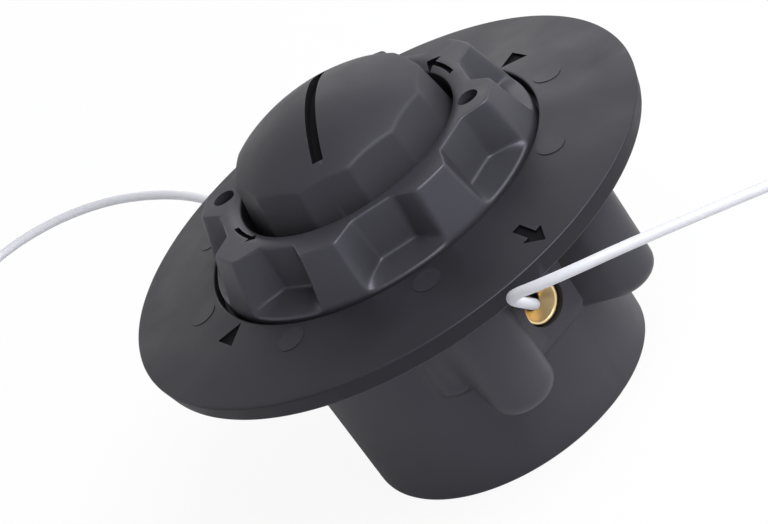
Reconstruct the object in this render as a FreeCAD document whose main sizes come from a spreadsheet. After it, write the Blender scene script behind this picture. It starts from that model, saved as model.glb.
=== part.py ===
import FreeCAD, Part
import math
import os
import re
import Sketcher

# A bump feed trimmer head that stands on its drum end, knob up. Millimetres and degrees.
# The origin is the centre of the drum's end face; the front eyelet looks towards -Y.

SIZES = {
    # Drum
    "drum_end_radius": 36.2,
    "drum_mouth_radius": 36.9,
    "drum_bore_radius": 33.6,
    "drum_edge_bevel": 0.9,
    "seat_height": 56.1,
    "end_recess": 4.0,
    "end_wall": 2.5,
    "end_rim_width": 3.0,
    "end_boss_radius": 12.5,
    "end_boss_gap": 0.4,
    "rib_count": 8,
    "rib_width": 2.0,
    "rib_gap": 0.8,
    "hub_radius": 11.05,
    "hub_height": 28.0,
    # Posts and flats beside the eyelets
    "post_circle": 42.5,
    "post_spread": 23.0,
    "post_radius": 10.0,
    "post_low": 20.7,
    "post_round": 3.0,
    "fairing_circle": 29.2,
    "fairing_spread": 36.0,
    "fairing_radius": 9.0,
    "fairing_low": 25.0,
    "fairing_bevel": 4.0,
    "flat_distance": 38.0,
    "flat_half_width": 12.0,
    "flat_low": 22.2,
    # Spindle thread insert
    "insert_flats": 15.0,
    "insert_length": 18.2,
    "insert_gap": 0.8,
    "thread_radius": 4.3,
    "thread_bevel": 0.8,
    "insert_fit": 0.05,
    # Eyelets
    "eyelet_height": 33.7,
    "eyelet_bore": 2.2,
    "eyelet_sleeve": 3.3,
    "eyelet_flange": 5.3,
    "eyelet_seat": 3.2,
    "eyelet_seat_gap": 0.3,
    "eyelet_rim": 1.9,
    "eyelet_rim_bevel": 0.3,
    "eyelet_mouth": 4.7,
    "eyelet_throat": 0.9,
    "eyelet_lip": 0.4,
    "eyelet_fit": 0.05,
    # Cover disc
    "disc_radius": 65.0,
    "disc_rim": 3.1,
    "disc_rim_draft": 0.6,
    "disc_rise": 3.3,
    "disc_edge_bevel": 0.5,
    "disc_shell": 3.0,
    "disc_land_margin": 1.5,
    "pan_radius": 42.2,
    "pan_floor": 2.3,
    "pan_mouth_radius": 35.6,
    "disc_screw_offset": 4.5,
    "disc_screw_shank": 1.9,
    "disc_screw_head": 3.4,
    "disc_screw_head_depth": 2.6,
    "disc_screw_bite": 4.1,
    "counterbore_radius": 3.8,
    "disc_screw_grip": 12.1,
    "disc_screw_hole": 2.2,
    "screw_fit": 0.05,
    # Spool
    "floor_washer_outer": 18.0,
    "floor_washer_thick": 1.2,
    "bore_fit": 0.05,
    "face_gap": 0.3,
    "spool_core_wall": 2.0,
    "spool_cavity_radius": 16.8,
    "spool_line_room": 3.1,
    "spool_side_gap": 0.8,
    "spool_flange_thick": 2.4,
    "spool_key_count": 8,
    "winding_step": 3.5,
    "winding_fit": 0.05,
    "winding_bevel": 1.2,
    # Hub washer and screw
    "hub_washer_radius": 15.0,
    "hub_washer_thick": 1.6,
    "hub_screw_head": 5.0,
    "hub_screw_head_height": 3.4,
    "hub_screw_shank": 2.95,
    "hub_screw_bite": 7.0,
    # Winding ring
    "ring_gap": 0.3,
    "ring_side_gap": 1.0,
    "ring_base_height": 4.2,
    "ring_top_radius": 37.6,
    "ring_height": 17.0,
    "ring_edge_bevel": 0.7,
    "ring_crown_radius": 29.5,
    "ring_crown_drop": 1.1,
    "ring_bore_radius": 27.4,
    "ring_web": 2.5,
    "ring_web_hole": 9.4,
    "ridge_count": 8,
    "ridge_turn": -8.0,
    "pocket_back_top": 32.0,
    "pocket_back_low": 33.0,
    "pocket_back_half_top": 5.2,
    "pocket_back_half_low": 4.5,
    "pocket_overcut": 1.4,
    "pocket_mouth_half_top": 17.5,
    "pocket_mouth_half_low": 12.5,
    "pocket_floor": 5.8,
    "ring_screw_count": 2,
    "ring_screw_circle": 32.0,
    "ring_screw_recess": 2.6,
    "ring_screw_recess_depth": 1.7,
    "ring_screw_head": 2.3,
    "ring_screw_head_height": 1.8,
    "ring_screw_shank": 1.4,
    "ring_screw_bite": 2.0,
    # Bump knob, clutch and spring
    "knob_ball_radius": 46.6,
    "knob_rise": 14.1,
    "knob_sides": 12,
    "knob_gap": 0.5,
    "knob_draft": 9.0,
    "knob_wall": 3.4,
    "knob_draft_room": 1.0,
    "knob_stem_radius": 9.0,
    "knob_slot_width": 2.7,
    "knob_slot_reach": 19.6,
    "knob_slot_depth": 1.8,
    "knob_slot_turn": 45.5,
    "knob_travel": 6.0,
    "clutch_fit": 0.5,
    "clutch_depth": 8.2,
    "clutch_key_reach": 1.9,
    "clutch_key_width": 4.0,
    "clutch_key_fit": 0.3,
    "clutch_key_root": 2.0,
    "knob_screw_shank": 2.5,
    "knob_screw_head": 4.5,
    "knob_screw_head_height": 3.6,
    "knob_screw_bite": 14.0,
    "seat_washer_margin": 1.4,
    "seat_washer_thick": 1.2,
    "spring_radius": 12.9,
    "spring_wire": 0.9,
    "spring_turns": 5,
    "spring_steps": 20,
    "spring_sides": 8,
    # Nylon line
    "line_radius": 1.2,
    # How far a cutter passes the face that it opens, or a rib runs into its neighbour
    "overcut": 1.0,
}

doc = FreeCAD.newDocument("TrimmerHead")
sheet = doc.addObject("Spreadsheet::Sheet", "Sizes")
for row, (name, value) in enumerate(SIZES.items(), 1):
    sheet.set(f"A{row}", name)
    sheet.set(f"B{row}", str(value))
    sheet.setAlias(f"B{row}", name)
doc.recompute()

# Heights that several pieces share, as formulas of the sizes
FLOOR = "(end_recess + end_wall)"
SPOOL_LOW = f"({FLOOR} + floor_washer_thick + face_gap)"
RING_LOW = "(seat_height + pan_floor + ring_gap)"
RING_TOP = f"({RING_LOW} + ring_height)"
SHOULDER = "(hub_height - face_gap)"
WASHER_TOP = "(hub_height + hub_washer_thick)"
SPOOL_TOP_LOW = "(seat_height + face_gap)"
MID_LOW = "(eyelet_height - spool_flange_thick / 2)"
MID_TOP = "(eyelet_height + spool_flange_thick / 2)"
LOWER_FLANGE_TOP = f"({SPOOL_LOW} + spool_flange_thick)"
CLUTCH_TOP = f"({RING_LOW} - clutch_fit)"
CLUTCH_LOW = f"({CLUTCH_TOP} - clutch_depth)"
SEAT_LOW = f"({CLUTCH_LOW} - seat_washer_thick)"
DISC_TOP = "(seat_height + disc_rim)"
KNOB_TOP = f"({RING_TOP} + knob_rise)"
BALL_CENTRE = f"({KNOB_TOP} - knob_ball_radius)"
SKIRT_LOW = f"({RING_LOW} + ring_web + knob_travel + face_gap)"
COUNTERBORE_TOP = "(seat_height - disc_screw_grip)"
RING_SCREW_SEAT = f"({RING_TOP} - ring_screw_recess_depth - ring_screw_head_height)"
RIDGE_STEP = "360 / ridge_count"

# Radii that fit one piece to another
SPOOL_FLANGE = "(drum_bore_radius - spool_line_room)"
SPOOL_TOP = "(pan_mouth_radius - spool_side_gap)"
CLUTCH_RADIUS = "(spool_cavity_radius - clutch_fit)"
GROOVE_REACH = f"({CLUTCH_RADIUS} + clutch_key_reach + clutch_key_fit)"
SPOOL_CORE = f"({GROOVE_REACH} + spool_core_wall)"
WINDING = f"({SPOOL_FLANGE} - winding_step)"
RING_BASE = "(pan_radius - ring_side_gap)"
KNOB_CORNER = "(ring_bore_radius - knob_gap)"
LAND = "(post_circle + post_radius + disc_land_margin)"
DISC_SCREW_CIRCLE = "(post_circle + disc_screw_offset)"

SCREW_SPOT_TURN = f"ridge_turn + 3 * {RIDGE_STEP}"

WORD = re.compile(r"[a-z_]+")
FRONT = 270.0
BACK = 90.0

# Where a sketch's shapes are drawn before their formulas move them
START = 10.0
START_RADIUS = 5.0


def tied(formula):
    """The formula with each size's name pointing at its cell."""
    def cell(match):
        word = match.group(0)
        return f"Sizes.{word}" if word in SIZES else word
    return WORD.sub(cell, formula)


def bind(item, prop, formula):
    item.setExpression(prop, tied(formula))


def body(label):
    item = doc.addObject("PartDesign::Body", label)
    item.Label = label
    return item


def origin_feature(owner, role):
    return next(item for item in owner.Origin.OriginFeatures if item.Role == role)


def sketch_on(owner, role, offset=None, turn=None):
    """A sketch on an origin plane, moved along its normal or turned about the head's axis."""
    sketch = owner.newObject("Sketcher::SketchObject", "outline")
    sketch.AttachmentSupport = [(origin_feature(owner, role), "")]
    sketch.MapMode = "FlatFace"
    if turn is not None:
        upright = FreeCAD.Vector(0, 1, 0)
        sketch.AttachmentOffset = FreeCAD.Placement(FreeCAD.Vector(), FreeCAD.Rotation(upright, 1))
        bind(sketch, "AttachmentOffset.Rotation.Angle", turn)
    if offset is not None:
        bind(sketch, "AttachmentOffset.Base.z", offset)
    return sketch


def place_point(sketch, shape, end, across, up, start):
    for kind, formula, value in (("DistanceX", across, start.x), ("DistanceY", up, start.y)):
        index = sketch.addConstraint(Sketcher.Constraint(kind, -1, 1, shape, end, value))
        bind(sketch, f"Constraints[{index}]", formula)


def polygon(sketch, corners):
    """A closed outline with every corner tied to formulas; it starts as a small regular polygon."""
    count = len(corners)
    first = sketch.GeometryCount
    step = 2 * math.pi / count
    spots = []
    for i in range(count):
        across = START + START_RADIUS * math.cos(step * i)
        up = START + START_RADIUS * math.sin(step * i)
        spots.append(FreeCAD.Vector(across, up, 0))
    for i in range(count):
        sketch.addGeometry(Part.LineSegment(spots[i], spots[(i + 1) % count]), False)
    for i in range(count):
        sketch.addConstraint(Sketcher.Constraint("Coincident", first + i, 2, first + (i + 1) % count, 1))
    for i, (across, up) in enumerate(corners):
        place_point(sketch, first + i, 1, across, up, spots[i])


def circle(sketch, across, up, radius):
    start = FreeCAD.Vector(START, START, 0)
    shape = sketch.addGeometry(Part.Circle(start, FreeCAD.Vector(0, 0, 1), START_RADIUS), False)
    index = sketch.addConstraint(Sketcher.Constraint("Radius", shape, START_RADIUS))
    bind(sketch, f"Constraints[{index}]", radius)
    place_point(sketch, shape, 3, across, up, start)


def around(radius, angle):
    """Formulas of the point at a radius and an angle about the head's axis."""
    return f"({radius}) * cos({angle})", f"({radius}) * sin({angle})"


def turned(owner, corners, kind="Revolution"):
    """A ring turned about the head's axis, added or cut away."""
    sketch = sketch_on(owner, "XZ_Plane")
    polygon(sketch, corners)
    feature = owner.newObject(f"PartDesign::{kind}", kind.lower())
    feature.Profile = sketch
    feature.ReferenceAxis = (sketch, ["V_Axis"])
    feature.Angle = 360
    return feature


def turned_beside(owner, corners, distance, angle):
    """A round column turned about an upright axis that stands off the head's axis."""
    sketch = sketch_on(owner, "XZ_Plane", turn=angle)
    polygon(sketch, corners)
    foot = FreeCAD.Vector(START, 0, 0)
    head = FreeCAD.Vector(START, START_RADIUS, 0)
    axis = sketch.addGeometry(Part.LineSegment(foot, head), True)
    sketch.addConstraint(Sketcher.Constraint("Vertical", axis))
    place_point(sketch, axis, 1, distance, "0", foot)
    feature = owner.newObject("PartDesign::Revolution", "column")
    feature.Profile = sketch
    feature.ReferenceAxis = (sketch, ["Axis0"])
    feature.Angle = 360
    return feature


def raised(owner, sketch, length):
    feature = owner.newObject("PartDesign::Pad", "pad")
    feature.Profile = sketch
    bind(feature, "Length", length)
    return feature


def cut_up(owner, sketch, length):
    """A cut from the sketch towards +Z."""
    feature = owner.newObject("PartDesign::Pocket", "cut")
    feature.Profile = sketch
    feature.Reversed = True
    bind(feature, "Length", length)
    return feature


def repeated(owner, features, count):
    """Copies of features spaced evenly about the head's axis."""
    pattern = owner.newObject("PartDesign::PolarPattern", "around")
    pattern.Originals = features
    pattern.Axis = (origin_feature(owner, "Z_Axis"), [""])
    pattern.Angle = 360
    bind(pattern, "Occurrences", count)
    owner.Tip = pattern
    return pattern


def hexagon(sketch, flats):
    corners = [around(f"({flats}) / 2 / cos(30)", f"{60 * i}") for i in range(6)]
    polygon(sketch, corners)


def screw(owner, head, head_low, head_top, shank, shank_end, distance, angle):
    """A plain round-headed screw; its thread is too fine to model."""
    corners = [
        (distance, head_low),
        (f"{distance} + {head}", head_low),
        (f"{distance} + {head}", head_top),
        (f"{distance} + {shank}", head_top),
        (f"{distance} + {shank}", shank_end),
        (distance, shank_end),
    ]
    return turned_beside(owner, corners, distance, angle)


POST_ANGLES = [f"{side} + {sign}post_spread" for side in (FRONT, BACK) for sign in ("-", "+")]
FAIRING_ANGLES = [f"{side} + {sign}fairing_spread" for side in (FRONT, BACK) for sign in ("-", "+")]
parts = []


# Drum housing: outside, posts and flats first, then the hollow, the hub, the end ribs and the holes
drum = body("drum_housing")
parts.append(drum)
turned(drum, [
    ("0", "0"),
    ("drum_end_radius - drum_edge_bevel", "0"),
    ("drum_end_radius", "drum_edge_bevel"),
    ("drum_mouth_radius", "seat_height"),
    ("0", "seat_height"),
])
flat_sketch = sketch_on(drum, "XY_Plane", offset="flat_low")
polygon(flat_sketch, [
    ("-flat_half_width", "-flat_distance"),
    ("flat_half_width", "-flat_distance"),
    ("flat_half_width", "flat_distance"),
    ("-flat_half_width", "flat_distance"),
])
raised(drum, flat_sketch, "seat_height - flat_low")
for angle in FAIRING_ANGLES:
    turned_beside(drum, [
        ("fairing_circle", "fairing_low"),
        ("fairing_circle + fairing_radius - fairing_bevel", "fairing_low"),
        ("fairing_circle + fairing_radius", "fairing_low + fairing_bevel"),
        ("fairing_circle + fairing_radius", "seat_height"),
        ("fairing_circle", "seat_height"),
    ], "fairing_circle", angle)
for angle in POST_ANGLES:
    turned_beside(drum, [
        ("post_circle", "post_low"),
        ("post_circle + post_radius - post_round", "post_low"),
        ("post_circle + post_radius - post_round * (1 - sin(45))", "post_low + post_round * (1 - cos(45))"),
        ("post_circle + post_radius", "post_low + post_round"),
        ("post_circle + post_radius", "seat_height"),
        ("post_circle", "seat_height"),
    ], "post_circle", angle)
turned(drum, [
    ("0", "hub_height"),
    ("hub_radius", "hub_height"),
    ("hub_radius", FLOOR),
    ("drum_bore_radius", FLOOR),
    ("drum_bore_radius", "seat_height + overcut"),
    ("0", "seat_height + overcut"),
], "Groove")
turned(drum, [
    ("0", "-overcut"),
    ("drum_end_radius - end_rim_width", "-overcut"),
    ("drum_end_radius - end_rim_width", "end_recess"),
    ("end_boss_radius", "end_recess"),
    ("end_boss_radius", "end_boss_gap"),
    ("0", "end_boss_gap"),
], "Groove")
rib_sketch = sketch_on(drum, "XY_Plane", offset="rib_gap")
polygon(rib_sketch, [
    ("end_boss_radius - overcut", "-rib_width / 2"),
    ("drum_end_radius - end_rim_width / 2", "-rib_width / 2"),
    ("drum_end_radius - end_rim_width / 2", "rib_width / 2"),
    ("end_boss_radius - overcut", "rib_width / 2"),
])
rib = raised(drum, rib_sketch, "end_recess + end_wall / 2 - rib_gap")
repeated(drum, [rib], "rib_count")
socket_sketch = sketch_on(drum, "XY_Plane", offset="-overcut")
hexagon(socket_sketch, "insert_flats + 2 * insert_fit")
cut_up(drum, socket_sketch, "overcut + insert_gap + insert_length")
pilot_sketch = sketch_on(drum, "XY_Plane", offset="hub_height - hub_screw_bite - screw_fit")
circle(pilot_sketch, "0", "0", "hub_screw_shank + screw_fit")
cut_up(drum, pilot_sketch, "hub_screw_bite + screw_fit + overcut")
counterbore_sketch = sketch_on(drum, "XY_Plane", offset="post_low - overcut")
shank_sketch = sketch_on(drum, "XY_Plane", offset=f"{COUNTERBORE_TOP} - overcut")
for angle in POST_ANGLES:
    across, up = around(DISC_SCREW_CIRCLE, angle)
    circle(counterbore_sketch, across, up, "counterbore_radius")
    circle(shank_sketch, across, up, "disc_screw_hole")
cut_up(drum, counterbore_sketch, f"{COUNTERBORE_TOP} - post_low + overcut")
cut_up(drum, shank_sketch, "disc_screw_grip + 2 * overcut")


def cut_into_flat(radius, depth):
    """A round cut at the eyelet's height, from in front of the flat towards the axis."""
    sketch = sketch_on(drum, "XZ_Plane", offset="flat_distance + overcut")
    circle(sketch, "0", "eyelet_height", radius)
    feature = drum.newObject("PartDesign::Pocket", "eyelet_cut")
    feature.Profile = sketch
    bind(feature, "Length", f"{depth} + overcut")
    return feature


eyelet_seat = cut_into_flat("eyelet_flange + eyelet_seat_gap", "eyelet_seat")
eyelet_hole = cut_into_flat("eyelet_sleeve + eyelet_fit", "flat_distance - drum_bore_radius + overcut")
repeated(drum, [eyelet_seat, eyelet_hole], "2")


# Spindle insert: a hexagonal steel bush with the thread's plain core
insert = body("drive_insert")
parts.append(insert)
insert_sketch = sketch_on(insert, "XY_Plane", offset="insert_gap")
hexagon(insert_sketch, "insert_flats")
raised(insert, insert_sketch, "insert_length")
thread_sketch = sketch_on(insert, "XY_Plane", offset="0")
circle(thread_sketch, "0", "0", "thread_radius")
cut_up(insert, thread_sketch, "insert_gap + insert_length + overcut")
turned(insert, [
    ("0", "insert_gap - overcut"),
    ("thread_radius + thread_bevel + overcut", "insert_gap - overcut"),
    ("thread_radius", "insert_gap + thread_bevel"),
    ("0", "insert_gap + thread_bevel"),
], "Groove")


# Brass eyelets: a sleeve, a flange sunk in the flat and a funnel mouth
SLEEVE = "(flat_distance - eyelet_seat - drum_bore_radius + eyelet_lip)"
for label, sign in (("eyelet_front", "-"), ("eyelet_rear", "")):
    eyelet = body(label)
    parts.append(eyelet)
    turned(eyelet, [
        ("eyelet_bore", "0"),
        ("eyelet_sleeve", "0"),
        ("eyelet_sleeve", SLEEVE),
        ("eyelet_flange", SLEEVE),
        ("eyelet_flange", f"{SLEEVE} + eyelet_rim - eyelet_rim_bevel"),
        ("eyelet_flange - eyelet_rim_bevel", f"{SLEEVE} + eyelet_rim"),
        ("eyelet_mouth", f"{SLEEVE} + eyelet_rim"),
        ("eyelet_bore", f"{SLEEVE} - eyelet_throat"),
    ])
    tip = 90.0 if sign == "-" else -90.0
    eyelet.Placement = FreeCAD.Placement(FreeCAD.Vector(), FreeCAD.Rotation(FreeCAD.Vector(1, 0, 0), tip))
    bind(eyelet, "Placement.Base.y", f"{sign}(drum_bore_radius - eyelet_lip)")
    bind(eyelet, "Placement.Base.z", "eyelet_height")


# Cover disc: thin dished rim, a thick land over drum and posts, and the pan that the ring turns in
disc = body("cover_disc")
parts.append(disc)
SLOPE = "(disc_rise / (disc_radius - pan_radius))"
LAND_UNDER = f"({DISC_TOP} + {SLOPE} * (disc_radius - {LAND}) - disc_shell)"
turned(disc, [
    ("pan_mouth_radius", "seat_height"),
    (LAND, "seat_height"),
    (LAND, LAND_UNDER),
    ("disc_radius - disc_shell", "seat_height"),
    ("disc_radius - disc_rim_draft - disc_edge_bevel", "seat_height"),
    ("disc_radius - disc_rim_draft", "seat_height + disc_edge_bevel"),
    ("disc_radius", f"{DISC_TOP} - disc_edge_bevel"),
    ("disc_radius - disc_edge_bevel", DISC_TOP),
    ("pan_radius + disc_edge_bevel", f"{DISC_TOP} + disc_rise"),
    ("pan_radius", f"{DISC_TOP} + disc_rise - disc_edge_bevel"),
    ("pan_radius", "seat_height + pan_floor"),
    ("pan_mouth_radius", "seat_height + pan_floor"),
])
pilot_holes = sketch_on(disc, "XY_Plane", offset="seat_height - overcut")
for angle in POST_ANGLES:
    across, up = around(DISC_SCREW_CIRCLE, angle)
    circle(pilot_holes, across, up, "disc_screw_shank + screw_fit")
cut_up(disc, pilot_holes, "disc_screw_bite + screw_fit + overcut")


def screw_group(label, rows):
    """Identical screws in one node, as separate solids."""
    solids = []
    for index, row in enumerate(rows):
        owner = body(f"{label}_{index + 1}")
        screw(owner, *row)
        solids.append(owner)
    group = doc.addObject("Part::Compound", label)
    group.Label = label
    group.Links = solids
    parts.append(group)


screw_group("disc_screws", [
    ("disc_screw_head", f"{COUNTERBORE_TOP} - disc_screw_head_depth", COUNTERBORE_TOP,
     "disc_screw_shank", "seat_height + disc_screw_bite", DISC_SCREW_CIRCLE, angle)
    for angle in POST_ANGLES
])


# Washers and the screw that hold the spool on the hub
def washer(label, inner, outer, low, thick):
    item = body(label)
    parts.append(item)
    turned(item, [
        (inner, low),
        (outer, low),
        (outer, f"{low} + {thick}"),
        (inner, f"{low} + {thick}"),
    ])


washer("thrust_washer", "hub_radius + bore_fit", "floor_washer_outer", FLOOR, "floor_washer_thick")
washer("hub_washer", "hub_screw_shank + screw_fit", "hub_washer_radius", "hub_height", "hub_washer_thick")
hub_screw = body("hub_screw")
parts.append(hub_screw)
turned(hub_screw, [
    ("0", "hub_height - hub_screw_bite"),
    ("hub_screw_shank", "hub_height - hub_screw_bite"),
    ("hub_screw_shank", WASHER_TOP),
    ("hub_screw_head", WASHER_TOP),
    ("hub_screw_head", f"{WASHER_TOP} + hub_screw_head_height"),
    ("0", f"{WASHER_TOP} + hub_screw_head_height"),
])


# Line spool: bore on the hub, cavity for the spring, three flanges and grooves for the clutch's keys
spool = body("line_spool")
parts.append(spool)
turned(spool, [
    ("hub_radius + bore_fit", SPOOL_LOW),
    (SPOOL_FLANGE, SPOOL_LOW),
    (SPOOL_FLANGE, LOWER_FLANGE_TOP),
    (SPOOL_CORE, LOWER_FLANGE_TOP),
    (SPOOL_CORE, MID_LOW),
    (SPOOL_FLANGE, MID_LOW),
    (SPOOL_FLANGE, MID_TOP),
    (SPOOL_CORE, MID_TOP),
    (SPOOL_CORE, SPOOL_TOP_LOW),
    (SPOOL_TOP, SPOOL_TOP_LOW),
    (SPOOL_TOP, RING_LOW),
    ("spool_cavity_radius", RING_LOW),
    ("spool_cavity_radius", SHOULDER),
    ("hub_radius + bore_fit", SHOULDER),
])
GROOVE_LOW = f"({CLUTCH_LOW} - knob_travel - clutch_fit)"
groove_sketch = sketch_on(spool, "XY_Plane", offset=GROOVE_LOW)
GROOVE_HALF = "(clutch_key_width / 2 + clutch_key_fit)"
polygon(groove_sketch, [
    ("spool_cavity_radius - clutch_key_root", f"-{GROOVE_HALF}"),
    (GROOVE_REACH, f"-{GROOVE_HALF}"),
    (GROOVE_REACH, GROOVE_HALF),
    ("spool_cavity_radius - clutch_key_root", GROOVE_HALF),
])
groove = cut_up(spool, groove_sketch, f"{RING_LOW} - {GROOVE_LOW} + overcut")
repeated(spool, [groove], "spool_key_count")
spool_pilot = sketch_on(spool, "XY_Plane", offset=f"{RING_LOW} - ring_screw_bite - screw_fit")
SCREW_SPOT = around("ring_screw_circle", SCREW_SPOT_TURN)
circle(spool_pilot, *SCREW_SPOT, "ring_screw_shank + screw_fit")
pilot = cut_up(spool, spool_pilot, "ring_screw_bite + screw_fit + overcut")
repeated(spool, [pilot], "ring_screw_count")


# Wound line in the two chambers, each a solid roll
def winding(label, low, top):
    item = body(label)
    parts.append(item)
    turned(item, [
        (f"{SPOOL_CORE} + winding_fit", f"{low} + winding_fit"),
        (f"{WINDING} - winding_bevel", f"{low} + winding_fit"),
        (WINDING, f"{low} + winding_fit + winding_bevel"),
        (WINDING, f"{top} - winding_fit - winding_bevel"),
        (f"{WINDING} - winding_bevel", f"{top} - winding_fit"),
        (f"{SPOOL_CORE} + winding_fit", f"{top} - winding_fit"),
    ])


winding("winding_lower", LOWER_FLANGE_TOP, MID_LOW)
winding("winding_upper", MID_TOP, SPOOL_TOP_LOW)


# Winding ring: a tapered hand ring with drafted finger pockets, a bore for the knob and a web below it
ring = body("winding_ring")
parts.append(ring)
turned(ring, [
    ("ring_web_hole", RING_LOW),
    (RING_BASE, RING_LOW),
    (RING_BASE, f"{RING_LOW} + ring_base_height"),
    ("ring_top_radius", f"{RING_TOP} - ring_edge_bevel"),
    ("ring_top_radius - ring_edge_bevel", RING_TOP),
    ("ring_crown_radius", RING_TOP),
    ("ring_bore_radius", f"{RING_TOP} - ring_crown_drop"),
    ("ring_bore_radius", f"{RING_LOW} + ring_web"),
    ("ring_web_hole", f"{RING_LOW} + ring_web"),
])


def pocket_outline(height, back, back_half, mouth_half):
    """One end of a finger pocket, drawn about +X and turned to lie between two ridges."""
    sketch = sketch_on(ring, "XY_Plane", offset=height)
    turn = f"(ridge_turn + {RIDGE_STEP} / 2)"
    mouth = f"{RING_BASE} + pocket_overcut"
    corners = [(back, f"-{back_half}"), (mouth, f"-{mouth_half}"), (mouth, mouth_half), (back, back_half)]
    polygon(sketch, [
        (f"({x}) * cos({turn}) - ({y}) * sin({turn})", f"({x}) * sin({turn}) + ({y}) * cos({turn})")
        for x, y in corners
    ])
    return sketch


pocket = ring.newObject("PartDesign::SubtractiveLoft", "finger_pocket")
pocket.Profile = pocket_outline(
    RING_TOP, "pocket_back_top", "pocket_back_half_top", "pocket_mouth_half_top")
pocket.Sections = [pocket_outline(
    f"{RING_LOW} + pocket_floor", "pocket_back_low", "pocket_back_half_low", "pocket_mouth_half_low")]
pocket.Ruled = True
repeated(ring, [pocket], "ridge_count")
recess_sketch = sketch_on(ring, "XY_Plane", offset=RING_SCREW_SEAT)
circle(recess_sketch, *SCREW_SPOT, "ring_screw_recess")
recess = cut_up(ring, recess_sketch, "ring_height")
hole_sketch = sketch_on(ring, "XY_Plane", offset=f"{RING_LOW} - overcut")
circle(hole_sketch, *SCREW_SPOT, "ring_screw_shank + screw_fit")
hole = cut_up(ring, hole_sketch, "ring_height")
repeated(ring, [recess, hole], "ring_screw_count")

screw_group("ring_screws", [
    ("ring_screw_shank", f"{RING_LOW} - ring_screw_bite", RING_SCREW_SEAT,
     "ring_screw_head", f"{RING_SCREW_SEAT} + ring_screw_head_height", "ring_screw_circle",
     f"{SCREW_SPOT_TURN} + {index} * 360 / ring_screw_count")
    for index in range(SIZES["ring_screw_count"])
])


# Bump knob: a drafted many-sided skirt under a ball-shaped cap, hollow round its stem, with one slot
skirt = body("knob_skirt")
skirt_sketch = sketch_on(skirt, "XY_Plane", offset=SKIRT_LOW)
SIDES = SIZES["knob_sides"]
polygon(skirt_sketch, [around(KNOB_CORNER, f"{index} * 360 / knob_sides") for index in range(SIDES)])
skirt_pad = raised(skirt, skirt_sketch, f"{KNOB_TOP} - {SKIRT_LOW}")
bind(skirt_pad, "TaperAngle", "-knob_draft")


def ball(name, radius):
    item = doc.addObject("Part::Sphere", name)
    bind(item, "Radius", radius)
    bind(item, "Placement.Base.z", BALL_CENTRE)
    return item


cap = doc.addObject("Part::Common", "knob_form")
cap.Base = skirt
cap.Tool = ball("knob_ball", "knob_ball_radius")
hollow = body("knob_hollow")
HOLLOW_RADIUS = f"({KNOB_CORNER} * cos(180 / knob_sides) - knob_wall - knob_draft_room)"
UNDER_CAP = "(knob_ball_radius - knob_wall)"
turned(hollow, [
    ("knob_stem_radius", f"{SKIRT_LOW} - overcut"),
    (HOLLOW_RADIUS, f"{SKIRT_LOW} - overcut"),
    (HOLLOW_RADIUS, f"{BALL_CENTRE} + sqrt({UNDER_CAP} ^ 2 - {HOLLOW_RADIUS} ^ 2)"),
    ("knob_stem_radius", f"{BALL_CENTRE} + sqrt({UNDER_CAP} ^ 2 - knob_stem_radius ^ 2)"),
])
slot_box = doc.addObject("Part::Box", "slot_box")
bind(slot_box, "Length", "2 * knob_slot_reach")
bind(slot_box, "Width", "knob_slot_width")
bind(slot_box, "Height", KNOB_TOP)
slot_box.Placement = FreeCAD.Placement(FreeCAD.Vector(), FreeCAD.Rotation(FreeCAD.Vector(0, 0, 1), 1))
bind(slot_box, "Placement.Rotation.Angle", "knob_slot_turn")
SLOT_ACROSS, SLOT_UP = around("knob_slot_reach", "knob_slot_turn")
SLOT_SIDE_UP, SLOT_SIDE_ACROSS = around("knob_slot_width / 2", "knob_slot_turn")
bind(slot_box, "Placement.Base.x", f"{SLOT_SIDE_ACROSS} - {SLOT_ACROSS}")
bind(slot_box, "Placement.Base.y", f"-{SLOT_UP} - {SLOT_SIDE_UP}")
slot_cutter = doc.addObject("Part::Cut", "knob_slot")
slot_cutter.Base = slot_box
slot_cutter.Tool = ball("slot_floor", "knob_ball_radius - knob_slot_depth")
stem = body("knob_stem")
turned(stem, [
    ("knob_screw_shank + screw_fit", CLUTCH_TOP),
    ("knob_stem_radius", CLUTCH_TOP),
    ("knob_stem_radius", f"{SKIRT_LOW} + knob_wall"),
    ("knob_screw_shank + screw_fit", f"{SKIRT_LOW} + knob_wall"),
])
stem_hole = body("knob_stem_hole")
turned(stem_hole, [
    ("0", SKIRT_LOW),
    ("knob_screw_shank + screw_fit", SKIRT_LOW),
    ("knob_screw_shank + screw_fit", f"{CLUTCH_TOP} + knob_screw_bite + screw_fit"),
    ("0", f"{CLUTCH_TOP} + knob_screw_bite + screw_fit"),
])
cutters = doc.addObject("Part::MultiFuse", "knob_cutters")
cutters.Shapes = [hollow, slot_cutter, stem_hole]
shell = doc.addObject("Part::Cut", "knob_shell")
shell.Base = cap
shell.Tool = cutters
knob = doc.addObject("Part::MultiFuse", "bump_knob")
knob.Label = "bump_knob"
knob.Shapes = [shell, stem]
knob.Refine = True
parts.append(knob)


# Index clutch: a slider with outside keys that run in the spool's grooves
clutch = body("index_clutch")
parts.append(clutch)
turned(clutch, [
    ("knob_screw_shank + screw_fit", CLUTCH_LOW),
    (CLUTCH_RADIUS, CLUTCH_LOW),
    (CLUTCH_RADIUS, CLUTCH_TOP),
    ("knob_screw_shank + screw_fit", CLUTCH_TOP),
])
key_sketch = sketch_on(clutch, "XY_Plane", offset=CLUTCH_LOW)
polygon(key_sketch, [
    (f"{CLUTCH_RADIUS} - clutch_key_root", "-clutch_key_width / 2"),
    (f"{CLUTCH_RADIUS} + clutch_key_reach", "-clutch_key_width / 2"),
    (f"{CLUTCH_RADIUS} + clutch_key_reach", "clutch_key_width / 2"),
    (f"{CLUTCH_RADIUS} - clutch_key_root", "clutch_key_width / 2"),
])
key = raised(clutch, key_sketch, "clutch_depth")
repeated(clutch, [key], "spool_key_count")

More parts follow.
